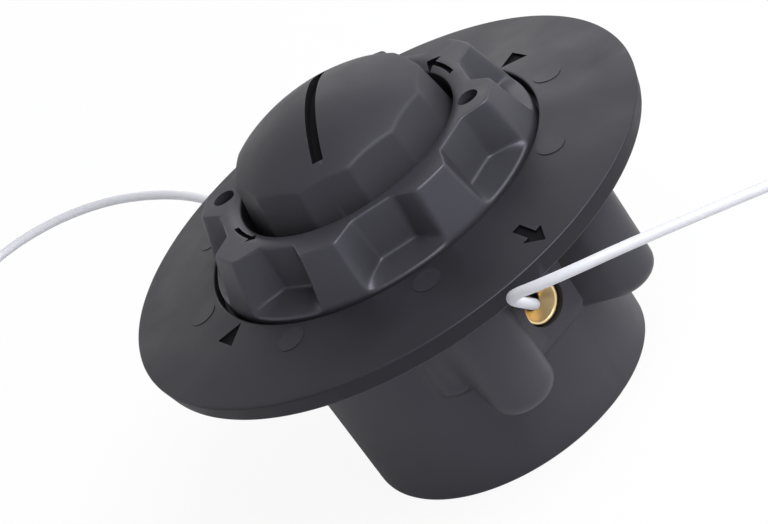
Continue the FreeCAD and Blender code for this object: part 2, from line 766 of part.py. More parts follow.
knob_screw = body("knob_screw")
parts.append(knob_screw)
turned(knob_screw, [
    ("0", f"{CLUTCH_LOW} - knob_screw_head_height"),
    ("knob_screw_head", f"{CLUTCH_LOW} - knob_screw_head_height"),
    ("knob_screw_head", CLUTCH_LOW),
    ("knob_screw_shank", CLUTCH_LOW),
    ("knob_screw_shank", f"{CLUTCH_TOP} + knob_screw_bite"),
    ("0", f"{CLUTCH_TOP} + knob_screw_bite"),
])
washer("spring_seat", "spring_radius - spring_wire - seat_washer_margin",
       "spring_radius + spring_wire + seat_washer_margin", SEAT_LOW, "seat_washer_thick")
doc.recompute()


# Knob spring: a round wire coil between the hub washer and the spring seat
def size(name):
    return float(sheet.get(name))


def coil_spring(low, top):
    """A coil lofted through wire sections that climb a steady helix."""
    coil = size("spring_radius")
    wire = size("spring_wire")
    turns = size("spring_turns")
    steps = int(turns * size("spring_steps"))
    sides = int(size("spring_sides"))
    climb = (top - low - 2 * wire) / steps
    sections = []
    for step in range(steps + 1):
        angle = 2 * math.pi * turns * step / steps
        middle = low + wire + climb * step
        outline = []
        for side in range(sides + 1):
            around_wire = 2 * math.pi * side / sides
            reach = coil + wire * math.cos(around_wire)
            height = middle + wire * math.sin(around_wire)
            outline.append(FreeCAD.Vector(reach * math.cos(angle), reach * math.sin(angle), height))
        sections.append(Part.makePolygon(outline))
    return Part.makeLoft(sections, True, True)


hub_washer_shape = doc.getObject("hub_washer").Shape
seat_shape = doc.getObject("spring_seat").Shape
spring = doc.addObject("Part::Feature", "knob_spring")
spring.Label = "knob_spring"
spring.Shape = coil_spring(hub_washer_shape.BoundBox.ZMax, seat_shape.BoundBox.ZMin)
parts.append(spring)


# Nylon lines: each route starts inside its eyelet; the points are chosen by hand
FRONT_ROUTE = [
    (-0.7, -32.4, 33.8),
    (-1.0, -37.8, 34.1),
    (-17.1, -67.0, 53.5),
    (-25.5, -71.8, 64.0),
    (-22.3, -86.2, 67.8),
    (-2.5, -97.9, 64.1),
    (25.4, -111.0, 56.0),
]
REAR_ROUTE = [
    (0.7, 32.4, 33.7),
    (0.9, 46.0, 33.9),
    (4.2, 64.0, 35.4),
    (8.6, 84.0, 37.6),
    (11.2, 104.0, 39.6),
    (9.6, 124.0, 40.4),
    (3.6, 144.0, 40.9),
    (-8.0, 160.0, 41.0),
    (-24.0, 169.0, 40.6),
    (-39.5, 169.6, 39.8),
]


def line_tube(label, route):
    """A round line along straight runs with a tangent arc at every point between them."""
    points = [FreeCAD.Vector(*point) for point in route]
    edges = []
    start = points[0]
    radii = []
    for before, here, after in zip(points, points[1:], points[2:]):
        shorter = min((here - before).Length, (after - here).Length)
        arrive = (here - before).normalize()
        leave = (after - here).normalize()
        turn = arrive.getAngle(leave)
        reach = 0.45 * shorter
        radius = reach / math.tan(turn / 2)
        radii.append(round(radius, 1))
        enter = here - arrive * reach
        exit_point = here + leave * reach
        inward = (leave - arrive).normalize()
        middle = here + inward * (radius / math.cos(turn / 2) - radius)
        edges.append(Part.LineSegment(start, enter).toShape())
        edges.append(Part.Arc(enter, middle, exit_point).toShape())
        start = exit_point
    edges.append(Part.LineSegment(start, points[-1]).toShape())
    path = Part.Wire(edges)
    radius = size("line_radius")
    heading = (points[1] - points[0]).normalize()
    section = Part.Wire(Part.makeCircle(radius, points[0], heading))
    item = doc.addObject("Part::Feature", label)
    item.Label = label
    item.Shape = path.makePipeShell([section], True, False)
    parts.append(item)
    print(label, "bend radii", radii, "length", round(path.Length, 1),
          "volume ratio", round(item.Shape.Volume / (math.pi * radius ** 2 * path.Length), 4))


line_tube("line_front", FRONT_ROUTE)
line_tube("line_rear", REAR_ROUTE)
doc.recompute()

# Nothing is written unless every object and every sub-part is sound
for item in doc.Objects:
    if "Invalid" in item.State or "Error" in item.State:
        raise RuntimeError(f"{item.Label} did not rebuild: {item.State}")
for item in parts:
    if item.Shape.isNull() or not item.Shape.isValid():
        raise RuntimeError(f"{item.Label} has no valid shape")

os.makedirs("parts", exist_ok=True)
for item in parts:
    item.Shape.exportStep(f"parts/{item.Label}.step")
    box = item.Shape.BoundBox
    print(f"{item.Label}: {len(item.Shape.Solids)} solid(s), {item.Shape.Volume:.0f} mm3,",
          f"z {box.ZMin:.2f} to {box.ZMax:.2f}, x {box.XMin:.1f} to {box.XMax:.1f}")
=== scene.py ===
import math

import bmesh
import bpy
import numpy as np
from mathutils import Matrix, Vector


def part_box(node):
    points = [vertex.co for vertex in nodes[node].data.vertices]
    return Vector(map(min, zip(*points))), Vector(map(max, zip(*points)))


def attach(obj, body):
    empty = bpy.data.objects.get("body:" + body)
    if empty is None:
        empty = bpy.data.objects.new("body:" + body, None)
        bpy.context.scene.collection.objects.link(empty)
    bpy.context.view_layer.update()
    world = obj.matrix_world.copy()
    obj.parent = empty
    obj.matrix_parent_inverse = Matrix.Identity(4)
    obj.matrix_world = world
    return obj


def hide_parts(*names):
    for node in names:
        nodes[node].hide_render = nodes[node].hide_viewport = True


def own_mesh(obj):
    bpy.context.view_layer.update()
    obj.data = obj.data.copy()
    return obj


# The dressed look of a bump feed trimmer head: moulded nylon pieces with rounded edges, brass
# eyelets and nylon line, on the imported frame. Shapes are written in millimetres, like the part's
# source.

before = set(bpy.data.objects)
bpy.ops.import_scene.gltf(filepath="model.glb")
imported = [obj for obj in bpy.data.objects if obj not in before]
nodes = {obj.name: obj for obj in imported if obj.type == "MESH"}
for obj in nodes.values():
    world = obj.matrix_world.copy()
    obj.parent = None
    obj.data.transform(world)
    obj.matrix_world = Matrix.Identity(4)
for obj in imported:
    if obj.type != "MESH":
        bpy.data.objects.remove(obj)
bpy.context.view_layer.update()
scene = bpy.context.scene
MM = 0.001


# Camera: the photograph's place, roll and lens
CAMERA_PLACE = Vector((-267.7, -539.7, 363.8)) * MM
CAMERA_RIGHT = Vector((0.6213, -0.5964, -0.5082))
CAMERA_UP = Vector((0.6831, 0.0945, 0.7242))
CAMERA_FORWARD = Vector((0.3838, 0.7971, -0.4661))
LENS_MM = 140.63
SENSOR_MM = 36.0

camera_data = bpy.data.cameras.new("photo_camera")
camera_data.lens = LENS_MM
camera_data.sensor_width = SENSOR_MM
camera_data.clip_start = 0.01
camera_data.clip_end = 20.0
camera = bpy.data.objects.new("photo_camera", camera_data)
scene.collection.objects.link(camera)
turn = Matrix((CAMERA_RIGHT, CAMERA_UP, -CAMERA_FORWARD)).transposed()
camera.matrix_world = Matrix.Translation(CAMERA_PLACE) @ turn.to_4x4()
scene.camera = camera


# Materials
NOISE_LOW = 0.3
NOISE_HIGH = 0.7
GRAIN_DEPTH = 0.03


def linear(hex_code):
    """An sRGB hex colour as linear red, green, blue and alpha."""
    channels = [int(hex_code[i:i + 2], 16) / 255 for i in (1, 3, 5)]
    return [c / 12.92 if c <= 0.04045 else ((c + 0.055) / 1.055) ** 2.4 for c in channels] + [1.0]


def per_mm(size_mm):
    """A texture scale whose pattern repeats about once in this many millimetres."""
    return 1.0 / (size_mm * MM)


def add(tree, kind, inputs=None, **settings):
    """One node with its settings; an input takes a value, or another node's output."""
    node = tree.nodes.new(kind)
    for name, value in settings.items():
        setattr(node, name, value)
    for name, value in (inputs or {}).items():
        if isinstance(value, bpy.types.NodeSocket):
            tree.links.new(value, node.inputs[name])
        else:
            node.inputs[name].default_value = value
    return node


def noise(tree, place, size_mm, detail):
    """Cloudy noise with spots about this large."""
    return add(tree, "ShaderNodeTexNoise", {
        "Vector": place, "Scale": per_mm(size_mm), "Detail": detail}).outputs["Fac"]


def blend(tree, share, first, second):
    """A colour between two others."""
    return add(tree, "ShaderNodeMix", {
        "Factor": share, 6: first, 7: second}, data_type="RGBA").outputs[2]


def spread(tree, value, low, high):
    """A noise value, its usual range spread from low to high."""
    return add(tree, "ShaderNodeMapRange", {
        "Value": value, "From Min": NOISE_LOW, "From Max": NOISE_HIGH,
        "To Min": low, "To Max": high}).outputs[0]


def relief(tree, strength, depth_mm, height):
    """Fine surface relief of this depth."""
    return add(tree, "ShaderNodeBump", {
        "Strength": strength, "Distance": depth_mm * MM, "Height": height}).outputs[0]


def blank_material(name):
    material = bpy.data.materials.new(name)
    material.use_nodes = True
    tree = material.node_tree
    tree.nodes.clear()
    return material, tree


def object_place(tree):
    return add(tree, "ShaderNodeTexCoord").outputs["Object"]


def finish_material(tree, shader):
    add(tree, "ShaderNodeOutputMaterial", {"Surface": shader.outputs[0]})


def finish_metal(tree, colour, roughness, normal):
    finish_material(tree, add(tree, "ShaderNodeBsdfPrincipled", {
        "Base Color": colour, "Metallic": 1.0, "Roughness": roughness, "Normal": normal}))


def moulded_nylon(name, dark, light, worn_edge_and_glint, rough, grain_mm, gloss=0.5):
    """Glass-filled black nylon, moulded: spark-eroded grain, cloudy sheen, paler convex edges that
    are partly wear and partly a painted highlight.
    """
    material, tree = blank_material(name)
    place = object_place(tree)
    cloud = noise(tree, place, 14, 4.0)
    fleck = noise(tree, place, 1.3, 3.0)
    tone = blend(tree, cloud, linear(dark), linear(light))
    # Convex edges turn paler: partly wear from rubbing, partly a painted highlight standing in for
    # glints on the rounded edges.
    edge = add(tree, "ShaderNodeMapRange", {
        "Value": add(tree, "ShaderNodeNewGeometry").outputs["Pointiness"],
        "From Min": 0.515, "From Max": 0.60, "To Min": 0.0, "To Max": 0.55}).outputs[0]
    rubbed_and_glint = add(tree, "ShaderNodeMath", {0: edge, 1: fleck}, operation="MULTIPLY").outputs[0]
    shader = add(tree, "ShaderNodeBsdfPrincipled", {
        "Base Color": blend(tree, rubbed_and_glint, tone, linear(worn_edge_and_glint)),
        "Roughness": spread(tree, cloud, rough - 0.06, rough + 0.06), "IOR": 1.5,
        "Specular IOR Level": gloss, "Specular Tint": linear("#EDEAFF"),
        "Normal": relief(tree, 0.5, GRAIN_DEPTH, noise(tree, place, grain_mm, 5.0))})
    finish_material(tree, shader)
    return material


def turned_brass(name):
    """Free-cutting brass, turned and polished: fine tool rings and a little brown tarnish."""
    material, tree = blank_material(name)
    place = object_place(tree)
    tarnish = noise(tree, place, 3, 4.0)
    rings = add(tree, "ShaderNodeTexWave", {
        "Vector": place, "Scale": per_mm(2.5), "Distortion": 1.5, "Detail": 2.0},
        wave_type="BANDS", bands_direction="Y").outputs["Fac"]
    finish_metal(tree, blend(tree, tarnish, linear("#F6E0B2"), linear("#E6C68C")),
                 spread(tree, tarnish, 0.32, 0.42), relief(tree, 0.08, 0.02, rings))
    return material


def plated_steel(name, bright, dull, rough):
    """Steel with a thin plating: cloudy, slightly uneven, with drawn scratches."""
    material, tree = blank_material(name)
    place = object_place(tree)
    cloud = noise(tree, place, 4, 5.0)
    scratch = noise(tree, place, 0.5, 3.0)
    finish_metal(tree, blend(tree, cloud, linear(bright), linear(dull)),
                 spread(tree, cloud, rough - 0.08, rough + 0.08), relief(tree, 0.2, 0.01, scratch))
    return material


def extruded_line(name):
    """Nylon cutting line, extruded: milky white, with faint die streaks and a satin skin."""
    material, tree = blank_material(name)
    place = object_place(tree)
    milk = noise(tree, place, 6, 4.0)
    streak = noise(tree, place, 0.8, 2.0)
    shader = add(tree, "ShaderNodeBsdfPrincipled", {
        "Base Color": blend(tree, milk, linear("#BDBEC4"), linear("#B4B5BC")),
        "Roughness": spread(tree, milk, 0.3, 0.42), "IOR": 1.53,
        "Normal": relief(tree, 0.05, 0.005, streak)})
    finish_material(tree, shader)
    return material


housing_nylon = moulded_nylon(
    "housing_glass_filled_nylon", "#151518", "#1B1B1F", "#3A3A40", 0.46, 0.55)
# The drum's nylon is a lighter copy of the housing nylon: painted light that makes up for the shade
# the disc casts on the drum.
drum_nylon_painted_light = moulded_nylon(
    "drum_nylon_lightened_for_shade", "#2E2E32", "#36363A", "#4A4A50", 0.46, 0.55, gloss=0.36)
rim_nylon = moulded_nylon(
    "rim_glass_filled_nylon", "#151518", "#1B1B1F", "#3A3A40", 0.55, 0.55, gloss=0.22)
# The ring's pale edge colour is mostly a painted highlight on its pocket and ridge edges.
ring_nylon = moulded_nylon(
    "ring_glass_filled_nylon", "#26262A", "#2C2C31", "#66666E", 0.44, 0.5)
knob_nylon = moulded_nylon(
    "knob_glass_filled_nylon", "#2A2A2E", "#303034", "#4A4A50", 0.48, 0.6, gloss=0.25)
# Near-black finish for the cut walls and floors of sunk marks and the knob's slot: painted shade in
# the recesses.
painted_shade_nylon = moulded_nylon(
    "sunk_mark_painted_shade", "#0B0B0C", "#101012", "#1C1C1F", 0.75, 0.4, gloss=0.08)
spool_nylon = moulded_nylon("spool_nylon", "#2A2A2D", "#343438", "#6E6E74", 0.4, 0.6)
eyelet_brass = turned_brass("turned_brass")
zinc_steel = plated_steel("zinc_plated_steel", "#C6C8CB", "#9C9EA2", 0.34)
black_steel = plated_steel("blackened_steel", "#4A4A4D", "#2C2C2E", 0.45)
spring_steel = plated_steel("drawn_spring_steel", "#A9ABAE", "#7C7E82", 0.3)
line_nylon = extruded_line("extruded_nylon_line")

NODE_MATERIALS = {
    "drum_housing": drum_nylon_painted_light, "cover_disc": housing_nylon, "winding_ring": ring_nylon,
    "bump_knob": knob_nylon, "line_spool": spool_nylon, "index_clutch": spool_nylon,
    "eyelet_front": eyelet_brass, "eyelet_rear": eyelet_brass, "drive_insert": zinc_steel,
    "disc_screws": zinc_steel, "thrust_washer": zinc_steel, "hub_washer": zinc_steel,
    "hub_screw": zinc_steel, "knob_screw": zinc_steel, "spring_seat": zinc_steel,
    "ring_screws": black_steel, "knob_spring": spring_steel, "winding_lower": line_nylon,
    "winding_upper": line_nylon, "line_front": line_nylon, "line_rear": line_nylon,
}
for node_name, node_material in NODE_MATERIALS.items():
    nodes[node_name].data.materials.clear()
    nodes[node_name].data.materials.append(node_material)


# Nylon lines: the routes of the part's source, as smooth curves
FRONT_ROUTE = [
    (-0.7, -32.4, 33.8), (-1.3, -35.6, 34.5), (-17.1, -67.0, 53.5), (-25.5, -71.8, 64.0),
    (-22.3, -86.2, 67.8), (-2.5, -97.9, 64.1), (25.4, -111.0, 56.0),
]
REAR_ROUTE = [
    (0.7, 32.4, 33.7), (0.9, 46.0, 33.9), (4.2, 64.0, 35.4), (8.6, 84.0, 37.6),
    (11.2, 104.0, 39.6), (9.6, 124.0, 40.4), (3.6, 144.0, 40.9), (-8.0, 160.0, 41.0),
    (-24.0, 169.0, 40.6), (-39.5, 169.6, 39.8),
]
LINE_RADIUS = 1.2


def cutting_line(name, route, node):
    curve = bpy.data.curves.new(name, "CURVE")
    curve.dimensions = "3D"
    curve.bevel_depth = LINE_RADIUS * MM
    curve.bevel_resolution = 6
    curve.resolution_u = 24
    curve.use_fill_caps = True
    spline = curve.splines.new("NURBS")
    spline.points.add(len(route) - 1)
    for point, spot in zip(spline.points, route):
        point.co = (*[value * MM for value in spot], 1.0)
    spline.order_u = 3
    spline.use_endpoint_u = True
    piece = bpy.data.objects.new(name, curve)
    scene.collection.objects.link(piece)
    curve.materials.append(line_nylon)
    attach(piece, "housing")
    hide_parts(node)


cutting_line("front_line", FRONT_ROUTE, "line_front")
cutting_line("rear_line", REAR_ROUTE, "line_rear")


# Rounded pieces, each a loop of section points carried round the head's axis
AROUND = 576
CREASE_ANGLE = 38.0
CUT_CLEAR = 2.0


def soft_min(a, b, width):
    """The smaller of two lengths, with their meeting edge rounded over the width."""
    share = np.maximum(width - np.abs(a - b), 0.0) / width
    return np.minimum(a, b) - share * share * width / 4


def soft_max(a, b, width):
    return -soft_min(-a, -b, width)


def rounded(points, offsets, steps=4):
    """A section outline with its corners drawn as short curves; an offset of zero keeps one."""
    outline = []
    count = len(points)
    for i, (here, offset) in enumerate(zip(points, offsets)):
        here = np.asarray(here, float)
        if offset == 0:
            outline.append(here)
            continue
        back = np.asarray(points[i - 1], float) - here
        ahead = np.asarray(points[(i + 1) % count], float) - here
        back_length = np.linalg.norm(back)
        ahead_length = np.linalg.norm(ahead)
        enter = here + back / back_length * min(offset, 0.45 * back_length)
        leave = here + ahead / ahead_length * min(offset, 0.45 * ahead_length)
        for step in range(steps + 1):
            t = step / steps
            outline.append((1 - t) ** 2 * enter + 2 * t * (1 - t) * here + t * t * leave)
    return outline


def polar(radius, degrees):
    return radius * math.cos(math.radians(degrees)), radius * math.sin(math.radians(degrees))


def evenly(columns):
    return [360.0 * i / columns for i in range(columns)]


def cleaned(piece):
    """Merges doubled points, drops empty faces and turns every face outwards."""
    work = bmesh.new()
    work.from_mesh(piece.data)
    bmesh.ops.remove_doubles(work, verts=work.verts, dist=1e-6)
    bmesh.ops.dissolve_degenerate(work, edges=work.edges, dist=1e-7)
    bmesh.ops.recalc_face_normals(work, faces=work.faces)
    work.to_mesh(piece.data)
    work.free()


def mesh_object(name, vertices, faces):
    mesh = bpy.data.meshes.new(name)
    mesh.from_pydata([tuple(v) for v in vertices], [], faces)
    piece = bpy.data.objects.new(name, mesh)
    scene.collection.objects.link(piece)
    cleaned(piece)
    return piece


def carried_round(name, angles, section, closed=True):
    """A mesh from section(angle in degrees), a list of (radius, height) points in millimetres."""
    columns = len(angles)
    rows = [np.array(section(angle)) for angle in angles]
    size = len(rows[0])
    vertices = []
    for angle, row in zip(angles, rows):
        for radius, height in row:
            vertices.append((*[value * MM for value in polar(radius, angle)], height * MM))
    faces = []
    last = size if closed else size - 1
    for i in range(columns):
        here = i * size
        there = ((i + 1) % columns) * size
        for j in range(last):
            k = (j + 1) % size
            faces.append((here + j, there + j, there + k, here + k))
    return mesh_object(name, vertices, faces)


def turned_cutter(name, points):
    return carried_round(name, evenly(120), lambda angle: points, closed=False)


def prism(name, outline, low, high):
    """An upright solid with a flat outline in millimetres, used to cut."""
    count = len(outline)
    vertices = [(x * MM, y * MM, low * MM) for x, y in outline]
    vertices += [(x * MM, y * MM, high * MM) for x, y in outline]
    faces = [tuple(range(count))[::-1], tuple(range(count, 2 * count))]
    faces += [(i, (i + 1) % count, count + (i + 1) % count, count + i) for i in range(count)]
    return mesh_object(name, vertices, faces)


def disc_outline(x, y, radius, count=40):
    turns = [2 * math.pi * i / count for i in range(count)]
    return [(x + radius * math.cos(t), y + radius * math.sin(t)) for t in turns]


def joined(pieces):
    """Several cutters that don't touch, as one mesh."""
    work = bmesh.new()
    for piece in pieces:
        piece.data.transform(piece.matrix_world)
        work.from_mesh(piece.data)
    first = pieces[0]
    work.to_mesh(first.data)
    work.free()
    first.matrix_world = Matrix.Identity(4)
    for piece in pieces[1:]:
        bpy.data.objects.remove(piece)
    return first


def cut(piece, cutter, painted_shade_finish=None, action="DIFFERENCE"):
    """Takes the cutter's solid out of the piece, or joins it on; fresh faces may take a
    painted-shade finish.
    """
    if painted_shade_finish:
        cutter.data.materials.append(painted_shade_finish)
    modifier = piece.modifiers.new("cut", "BOOLEAN")
    modifier.operation = action
    modifier.solver = "EXACT"
    modifier.material_mode = "TRANSFER"
    modifier.object = cutter
    bpy.context.view_layer.update()
    shaped = piece.evaluated_get(bpy.context.evaluated_depsgraph_get())
    mesh = bpy.data.meshes.new_from_object(shaped)
    piece.modifiers.clear()
    piece.data = mesh
    bpy.data.objects.remove(cutter)


def dress(piece, body, material, slot, *stands_for):
    """Smooth shading with crisp creases, then the finish and the body that carries the piece."""
    if piece.data.materials:
        piece.data.materials[0] = material
    else:
        piece.data.materials.append(material)
    for face in piece.data.polygons:
        face.use_smooth = True
    piece.data.set_sharp_from_angle(angle=math.radians(CREASE_ANGLE))
    weighted = piece.modifiers.new("even_normals", "WEIGHTED_NORMAL")
    weighted.keep_sharp = True
    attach(piece, body)
    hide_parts(*stands_for)


# Winding ring: a tapered hand ring with drafted finger pockets between rounded ridges.
# Pocket sizes are pairs, at the pocket's floor and at the ring's top.
RING_LOW = 58.7
RING_TOP = 75.7
RING_BASE = 41.2
RING_SHOULDER = 62.9
RING_TOP_RADIUS = 37.6
RING_CROWN = 29.6
RING_WELL = 27.4
RING_WELL_BEVEL = 1.1
RING_WEB = 2.5
RING_BORE = 9.4
RIDGE_EDGE = 1.4
POCKET_FLOOR = 64.5
POCKET_MIDDLE = 14.5
POCKET_STEP = 45.0
POCKET_MOUTH = 42.6
POCKET_BACK = (33.0, 32.0)
POCKET_BACK_HALF = (4.5, 5.2)
POCKET_MOUTH_HALF = (12.5, 17.5)
POCKET_CORNER = 0.8
RECESS_CIRCLE = 32.0
RECESS_RADIUS = 2.6
RECESS_DEPTH = 3.5
RECESS_TURNS = (127.0, 307.0)
ARROW_CIRCLE = 29.6
ARROW_WIDTH = 1.1
ARROW_DEPTH = 1.3
ARROW_STEPS = 12


def pocket_reach(phi, height):
    """How far out a ray at this angle from the pocket's middle meets the pocket's walls."""
    share = (height - POCKET_FLOOR) / (RING_TOP - POCKET_FLOOR)
    pairs = (POCKET_BACK, POCKET_BACK_HALF, POCKET_MOUTH_HALF)
    back, back_half, mouth_half = [low + share * (high - low) for low, high in pairs]
    slope = (mouth_half - back_half) / (POCKET_MOUTH - back)
    back_wall = back / math.cos(phi)
    side_wall = (back_half - slope * back) / (math.sin(abs(phi)) - slope * math.cos(phi))
    return soft_max(back_wall, side_wall, POCKET_CORNER)


def ring_section(angle):
    phi = math.radians((angle - POCKET_MIDDLE + POCKET_STEP / 2) % POCKET_STEP - POCKET_STEP / 2)
    taper = (RING_BASE - RING_TOP_RADIUS) / (RING_TOP - RING_SHOULDER)
    wall = []
    for z in np.linspace(POCKET_FLOOR, RING_TOP, 10):
        ridge = RING_BASE - taper * (z - RING_SHOULDER)
        wall.append((soft_min(ridge, pocket_reach(phi, z), RIDGE_EDGE), z))
    points = [(RING_BORE, RING_LOW), (RING_BASE, RING_LOW), (RING_BASE, RING_SHOULDER)]
    offsets = [0, 0.5, 0.7]
    points += wall
    offsets += [0.8] + [0] * (len(wall) - 2) + [0.6]
    points += [(RING_CROWN, RING_TOP), (RING_WELL, RING_TOP - RING_WELL_BEVEL),
               (RING_WELL, RING_LOW + RING_WEB), (RING_BORE, RING_LOW + RING_WEB)]
    offsets += [1.6, 0.5, 0, 0]
    return rounded(points, offsets)


def ring_arrow(name, start, end, head):
    """A curved arrow along the crown: a bent bar with a triangular head at its end."""
    turns = [start + (end - start) * i / ARROW_STEPS for i in range(ARROW_STEPS + 1)]
    inner = [polar(ARROW_CIRCLE - ARROW_WIDTH / 2, turn_to) for turn_to in turns]
    outer = [polar(ARROW_CIRCLE + ARROW_WIDTH / 2, turn_to) for turn_to in turns]
    tip = polar(ARROW_CIRCLE, end + math.degrees(head * 1.3 / ARROW_CIRCLE))
    barbs = [polar(ARROW_CIRCLE + head, end), tip, polar(ARROW_CIRCLE - head, end)]
    return prism(name, outer + barbs + inner[::-1], RING_TOP - ARROW_DEPTH, RING_TOP + CUT_CLEAR)


ring = carried_round("winding_ring_shell", evenly(AROUND), ring_section)
recesses = []
for turn_to in RECESS_TURNS:
    recess_outline = disc_outline(*polar(RECESS_CIRCLE, turn_to), RECESS_RADIUS)
    recesses.append(prism("recess", recess_outline, RING_TOP - RECESS_DEPTH, RING_TOP + CUT_CLEAR))
arrows = [ring_arrow("arrow_a", -24.5, -7.0, 2.4), ring_arrow("arrow_b", 157.7, 173.0, 1.7)]
ring.data.materials.append(ring_nylon)
cut(ring, joined(recesses))
# The arrows' cut faces take the near-black painted shade.
cut(ring, joined(arrows), painted_shade_nylon)
dress(ring, "spool", ring_nylon, "black_nylon", "winding_ring")


# Bump knob: a ball-shaped cap on a drafted many-sided skirt, with the slot across it
BALL_RADIUS = 46.6
BALL_CENTRE = 43.2
SIDES = 12
SKIRT_LOW = 67.5
SKIRT_APOTHEM = 26.9 * math.cos(math.pi / SIDES)
SKIRT_DRAFT = math.tan(math.radians(9.0))
SKIRT_EDGE_GUESS = 82.4
FACET_EDGE = 0.35
DOME_SHARE = 0.94
KNOB_HOLLOW = [(21.6, SKIRT_LOW), (21.6, 80.6)]
KNOB_STEM = [(9.0, 85.4), (9.0, 58.2), (2.55, 58.2), (2.55, 72.25), (0, 72.25)]
SLOT_REACH = 19.6
SLOT_HALF = 1.35
SLOT_DEPTH = 2.2
SLOT_TOP = 96.0
SLOT_TURN = 45.5


def ball_height(radius, ball=BALL_RADIUS):
    return BALL_CENTRE + math.sqrt(ball ** 2 - radius ** 2)


def skirt_reach(angle, height):
    apothem = SKIRT_APOTHEM - (height - SKIRT_LOW) * SKIRT_DRAFT
    step = 360.0 / SIDES
    phi = (angle % step) - step / 2
    faces = [apothem / math.cos(math.radians(phi + turn_by)) for turn_by in (0, -step, step)]
    return soft_min(soft_min(faces[0], faces[1], FACET_EDGE), faces[2], FACET_EDGE)


def knob_section(angle):
    edge = SKIRT_EDGE_GUESS
    for _ in range(6):
        edge = ball_height(skirt_reach(angle, edge))
    reach = skirt_reach(angle, edge)
    dome = [(reach * t, ball_height(reach * t)) for t in np.linspace(0, DOME_SHARE, 22)]
    skirt = [(skirt_reach(angle, z), z) for z in np.linspace(edge, SKIRT_LOW, 6)]
    inside = KNOB_HOLLOW + KNOB_STEM
    offsets = [0] * len(dome) + [0.8] + [0] * (len(skirt) - 2) + [0.5] + [0] * len(inside)
    return rounded(dome + skirt + inside, offsets)


knob = carried_round("bump_knob_shell", evenly(AROUND), knob_section, closed=False)
slot_outline = [(u, ball_height(u, BALL_RADIUS - SLOT_DEPTH))
                for u in np.linspace(-SLOT_REACH, SLOT_REACH, 25)]
slot_outline += [(SLOT_REACH, SLOT_TOP), (-SLOT_REACH, SLOT_TOP)]
slot = prism("slot", slot_outline, -SLOT_HALF, SLOT_HALF)
upright = Matrix.Rotation(math.pi / 2, 4, "X")
slot.matrix_world = Matrix.Rotation(math.radians(SLOT_TURN), 4, "Z") @ upright
knob.data.materials.append(knob_nylon)
# The slot's cut faces take the near-black painted shade.
cut(knob, slot, painted_shade_nylon)
dress(knob, "knob", knob_nylon, "black_nylon", "bump_knob")


# Cover disc: a thin dished plate with a pan for the ring and shallow moulded marks
DISC_RADIUS = 65.0
DISC_BORE = 35.6
DISC_UNDER = 56.1
DISC_EDGE = 59.2
PAN_RADIUS = 42.2
PAN_EDGE = 62.5
PAN_FLOOR = 58.4
DISC_SLOPE = (PAN_EDGE - DISC_EDGE) / (DISC_RADIUS - PAN_RADIUS)
STEP_RADIUS = 57.0
STEP_UNDER = 57.4
RIM_INNER_TOP = (61.6, 57.0)
RIM_INNER = 62.2
RIM_DRAFT = 1.2
RIM_LOW = 54.5
RIM_STEEP = 0.4
MARK_DEPTH = 0.7
POINTER = [(-3.0, 0), (3.0, -3.0), (3.0, 3.0)]
POINTER_CIRCLE = 46.0
POINTER_TURNS = (-5.5, 174.5)
LINE_ARROW = [(-4.7, -1.2), (0.4, -1.2), (0.4, -2.9), (4.8, 0), (0.4, 2.9), (0.4, 1.2), (-4.7, 1.2)]
LINE_ARROW_CIRCLE = 57.7
LINE_ARROW_TURN = 266.1
PAD_RADIUS = 3.3
PAD_CIRCLE = 47.0
PAD_TURNS = (20.0, 62.0, 116.0, 154.0)
PAD_ROOT = 0.5
PAD_HEIGHT = 0.13


def disc_height(radius):
    return DISC_EDGE + (DISC_RADIUS - radius) * DISC_SLOPE


def disc_mark(name, outline, radius, angle, depth, height=CUT_CLEAR):
    """A solid that lies along the disc's slope; its outline runs outwards, then anticlockwise."""
    cutter = prism(name, outline, -depth, height)
    lean = Matrix.Rotation(math.atan(DISC_SLOPE), 4, "Y")
    place = Matrix.Translation(Vector((radius, 0, disc_height(radius))) * MM)
    cutter.matrix_world = Matrix.Rotation(math.radians(angle), 4, "Z") @ place @ lean
    return cutter


disc_points = [(DISC_BORE, DISC_UNDER), (STEP_RADIUS, DISC_UNDER), (STEP_RADIUS, STEP_UNDER),
               RIM_INNER_TOP, (RIM_INNER, RIM_LOW), (DISC_RADIUS - RIM_DRAFT, RIM_LOW),
               (DISC_RADIUS, DISC_EDGE)]
disc_offsets = [0, 0.4, 0.8, 0.5, 0.3, 0.6, 0.5]
for radius in np.arange(63.0, PAN_RADIUS + 1.0, -1.5):
    disc_points.append((radius, disc_height(radius)))
    disc_offsets.append(0)
disc_points += [(PAN_RADIUS, PAN_EDGE), (PAN_RADIUS, PAN_FLOOR), (DISC_BORE, PAN_FLOOR)]
disc_offsets += [0.6, 0.3, 0.3]
disc_loop = rounded(disc_points, disc_offsets)
disc = carried_round("cover_disc_shell", evenly(360), lambda angle: disc_loop)
marks = [disc_mark("pointer", POINTER, POINTER_CIRCLE, turn_to, MARK_DEPTH)
         for turn_to in POINTER_TURNS]
marks.append(disc_mark("line_arrow", LINE_ARROW, LINE_ARROW_CIRCLE, LINE_ARROW_TURN, MARK_DEPTH))
disc.data.materials.append(housing_nylon)
# The marks' cut faces take the near-black painted shade.
cut(disc, joined(marks), painted_shade_nylon)
pad_outline = disc_outline(0, 0, PAD_RADIUS)
pads = [disc_mark("pad", pad_outline, PAD_CIRCLE, turn_to + half, PAD_ROOT, PAD_HEIGHT)
        for turn_to in PAD_TURNS for half in (0.0, 180.0)]
cut(disc, joined(pads), action="UNION")
cleaned(disc)
disc.data.materials.append(rim_nylon)
rim_place = len(disc.data.materials) - 1
for face in disc.data.polygons:
    outermost = math.hypot(face.center.x, face.center.y) > (DISC_RADIUS - RIM_DRAFT) * MM
    if outermost and abs(face.normal.z) < RIM_STEEP:
        face.material_index = rim_place
dress(disc, "housing", housing_nylon, "black_nylon", "cover_disc")


